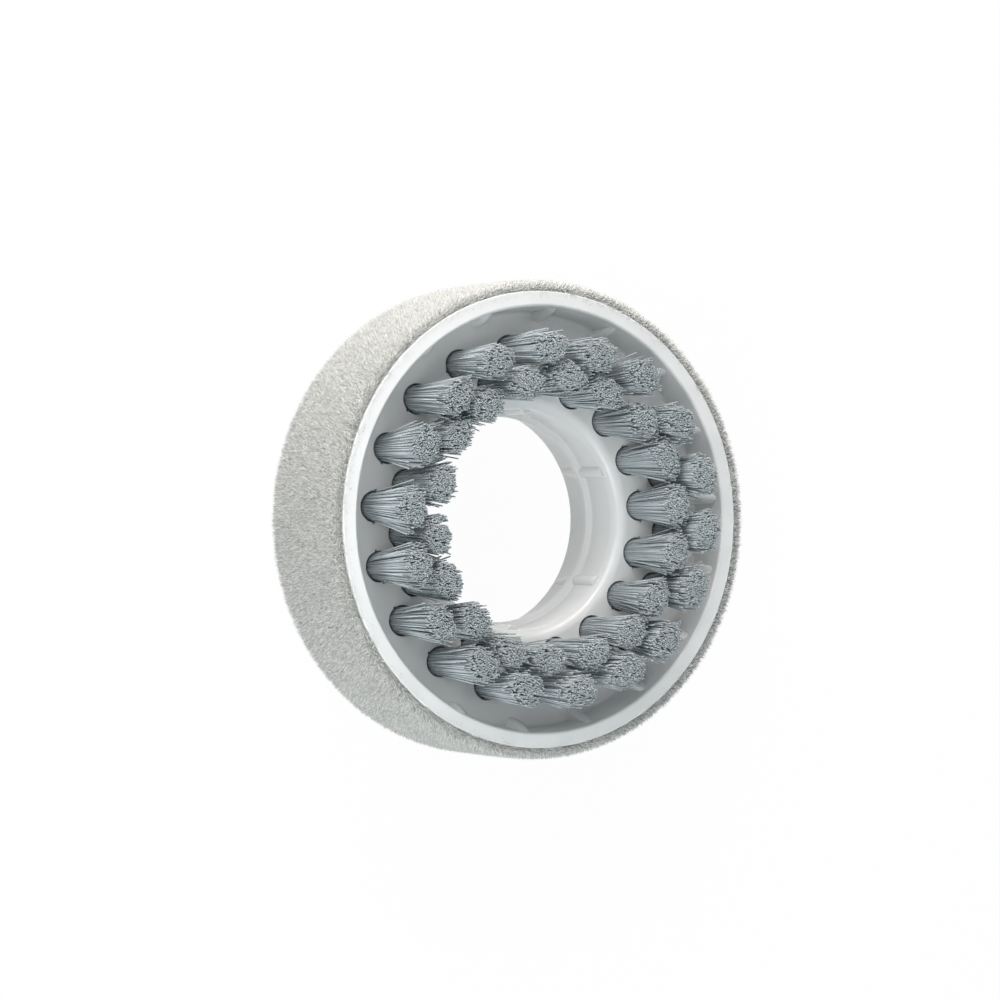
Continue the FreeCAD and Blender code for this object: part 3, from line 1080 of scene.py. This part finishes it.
class RINGBRUSH_OT_stage(bpy.types.Operator):
    """Set up the floor, the lamps, the world and the camera"""

    bl_idname = "ringbrush.stage"
    bl_label = "Set the stage"

    def execute(self, context):
        scene = context.scene
        settings = scene.ringbrush_stage
        scene.view_settings.view_transform = "Standard"

        form = bmesh.new()
        bmesh.ops.create_circle(
            form, cap_ends=True, segments=FLOOR_SEGMENTS, radius=FLOOR_RADIUS,
        )
        floor_mesh = bpy.data.meshes.new("floor")
        form.to_mesh(floor_mesh)
        form.free()
        floor = bpy.data.objects.new("floor", floor_mesh)
        scene.collection.objects.link(floor)
        floor.data.materials.append(white_floor(settings))

        world = bpy.data.worlds.new("studio")
        scene.world = world
        world.use_nodes = True
        tree = world.node_tree
        tree.nodes.clear()
        up_turn = math.degrees(PHOTO_RIGHT_TURN) + 90
        heading = add_node(tree, "ShaderNodeTexCoord").outputs["Generated"]
        towards_table = add_node(
            tree, "ShaderNodeVectorMath",
            {0: heading, 1: direction_of(up_turn + 180, 0)}, operation="DOT_PRODUCT",
        )
        below = add_node(tree, "ShaderNodeClamp", {"Value": towards_table.outputs["Value"]})
        level = add_node(
            tree, "ShaderNodeMath", {0: below.outputs[0], 1: settings.bounce, 2: settings.ambient},
            operation="MULTIPLY_ADD",
        )
        ambient = add_node(
            tree, "ShaderNodeBackground", {"Color": colour("#E6F5FB"), "Strength": level.outputs[0]},
        )
        backdrop = add_node(tree, "ShaderNodeBackground", {"Color": (1, 1, 1, 1), "Strength": 1.0})
        mixed = add_node(
            tree, "ShaderNodeMixShader",
            {0: plain_view(tree), 1: ambient.outputs[0], 2: backdrop.outputs[0]},
        )
        add_node(tree, "ShaderNodeOutputWorld", {"Surface": mixed.outputs[0]})

        # Turn from the photograph's upward side, rise above the floor, level and tint of each lamp
        for name, turn, rise, lamp_level, tint in (
            ("left_high_softbox", 45, 25, settings.left_high, "#FFFFFF"),
            ("left_low_softbox", 135, 25, settings.left_low, "#FFFFFF"),
            ("front_softbox", 90, 50, settings.front, "#FFFFFF"),
            ("overhead_softbox", 0, 17, settings.overhead, "#FFF9F5"),
        ):
            add_softbox(name, up_turn + turn, rise, lamp_level, tint)

        right = Vector((math.cos(PHOTO_RIGHT_TURN), math.sin(PHOTO_RIGHT_TURN), 0))
        axis = Vector((0, 0, 1))
        forward = right * math.sin(AXIS_TO_SIGHT) - axis * math.cos(AXIS_TO_SIGHT)
        level_up = axis.cross(right)
        level_right = forward.cross(level_up)
        up = level_up * math.cos(CAMERA_ROLL) + level_right * math.sin(CAMERA_ROLL)
        across = level_right * math.cos(CAMERA_ROLL) - level_up * math.sin(CAMERA_ROLL)
        place = (
            Vector((0, 0, RIM_TOP)) - forward * CAMERA_DISTANCE
            - across * RIM_CENTRE_RIGHT + up * RIM_CENTRE_DOWN
        )
        lens = bpy.data.cameras.new("photograph")
        lens.lens = LENS_MM
        lens.sensor_width = SENSOR_MM
        lens.clip_start = 0.01
        camera = bpy.data.objects.new("photograph", lens)
        scene.collection.objects.link(camera)
        turned = Matrix((across, up, -forward)).transposed().to_4x4()
        camera.matrix_world = Matrix.Translation(place) @ turned
        scene.camera = camera
        return {"FINISHED"}


def white_floor(settings):
    """Matt white studio paper: shows white, and keeps a soft shadow under the brush."""
    material, tree = new_material("matt_white_paper")
    paper = add_node(tree, "ShaderNodeBsdfDiffuse", {"Color": settings.floor})
    white = add_node(tree, "ShaderNodeEmission", {"Color": (1, 1, 1, 1), "Strength": 1.0})
    glow = add_node(
        tree, "ShaderNodeMath", {0: plain_view(tree), 1: FLOOR_GLOW}, operation="MULTIPLY",
    )
    seen = add_node(
        tree, "ShaderNodeMixShader", {0: glow.outputs[0], 1: paper.outputs[0], 2: white.outputs[0]},
    )
    finish_material(tree, seen)
    return material


class RINGBRUSH_PT_sidebar(bpy.types.Panel):
    """Lists the steps that finish the brush"""

    bl_label = "Ring Brush"
    bl_idname = "RINGBRUSH_PT_sidebar"
    bl_space_type = "VIEW_3D"
    bl_region_type = "UI"
    bl_category = "Ring Brush"

    def draw(self, context):
        scene = context.scene
        for settings in (
            scene.ringbrush_plastic, scene.ringbrush_bristles, scene.ringbrush_pile, scene.ringbrush_stage,
        ):
            box = self.layout.box()
            for name in settings.bl_rna.properties.keys():
                if name not in ("rna_type", "name"):
                    box.prop(settings, name)
        for step in STEPS:
            self.layout.operator(step.bl_idname)


STEPS = (
    RINGBRUSH_OT_housing,
    RINGBRUSH_OT_anchors,
    RINGBRUSH_OT_tufts,
    RINGBRUSH_OT_pile,
    RINGBRUSH_OT_stage,
)
SETTINGS = {
    "ringbrush_plastic": RingBrushPlastic,
    "ringbrush_bristles": RingBrushBristles,
    "ringbrush_pile": RingBrushPile,
    "ringbrush_stage": RingBrushStage,
}


def register():
    for group in SETTINGS.values():
        bpy.utils.register_class(group)
    for name, group in SETTINGS.items():
        setattr(bpy.types.Scene, name, bpy.props.PointerProperty(type=group))
    for step in STEPS:
        bpy.utils.register_class(step)
    bpy.utils.register_class(RINGBRUSH_PT_sidebar)


def unregister():
    bpy.utils.unregister_class(RINGBRUSH_PT_sidebar)
    for step in reversed(STEPS):
        bpy.utils.unregister_class(step)
    for name in SETTINGS:
        delattr(bpy.types.Scene, name)
    for group in reversed(list(SETTINGS.values())):
        bpy.utils.unregister_class(group)


def main():
    register()
    for step in STEPS:
        area, name = step.bl_idname.split(".")
        getattr(getattr(bpy.ops, area), name)()


if __name__ == "__main__":
    main()
